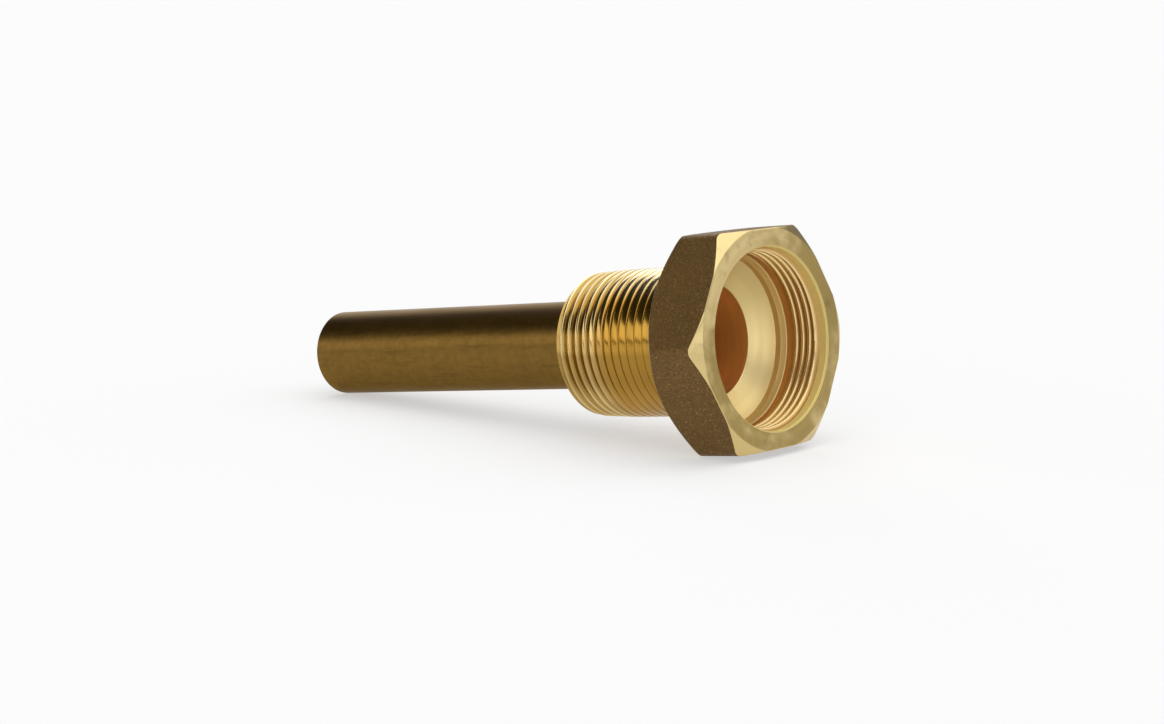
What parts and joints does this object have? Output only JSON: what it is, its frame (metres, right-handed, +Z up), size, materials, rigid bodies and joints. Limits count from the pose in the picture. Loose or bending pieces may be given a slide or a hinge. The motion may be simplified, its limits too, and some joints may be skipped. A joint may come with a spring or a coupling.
{
  "type": "thermowell",
  "caption": "Brass thermowell with a hexagon head, a threaded instrument socket, a taper pipe thread and a plain stem closed at its end.",
  "frame": {"origin": "middle of the box around the part, on the level surface that it rests on", "axes": "+X along the part, from the closed end of the stem to the socket's mouth; +Z up. The part's own axis rises towards the mouth by 6.65 degrees, because it rests on the bottom flat of the hexagon and on the end of the stem"},
  "size_m": [0.1088, 0.0434, 0.0391],
  "materials": {
    "brass": "turned and as forged"
  },
  "bodies": {
    "root": {"thermowell": "brass"}
  },
  "joints": []
}
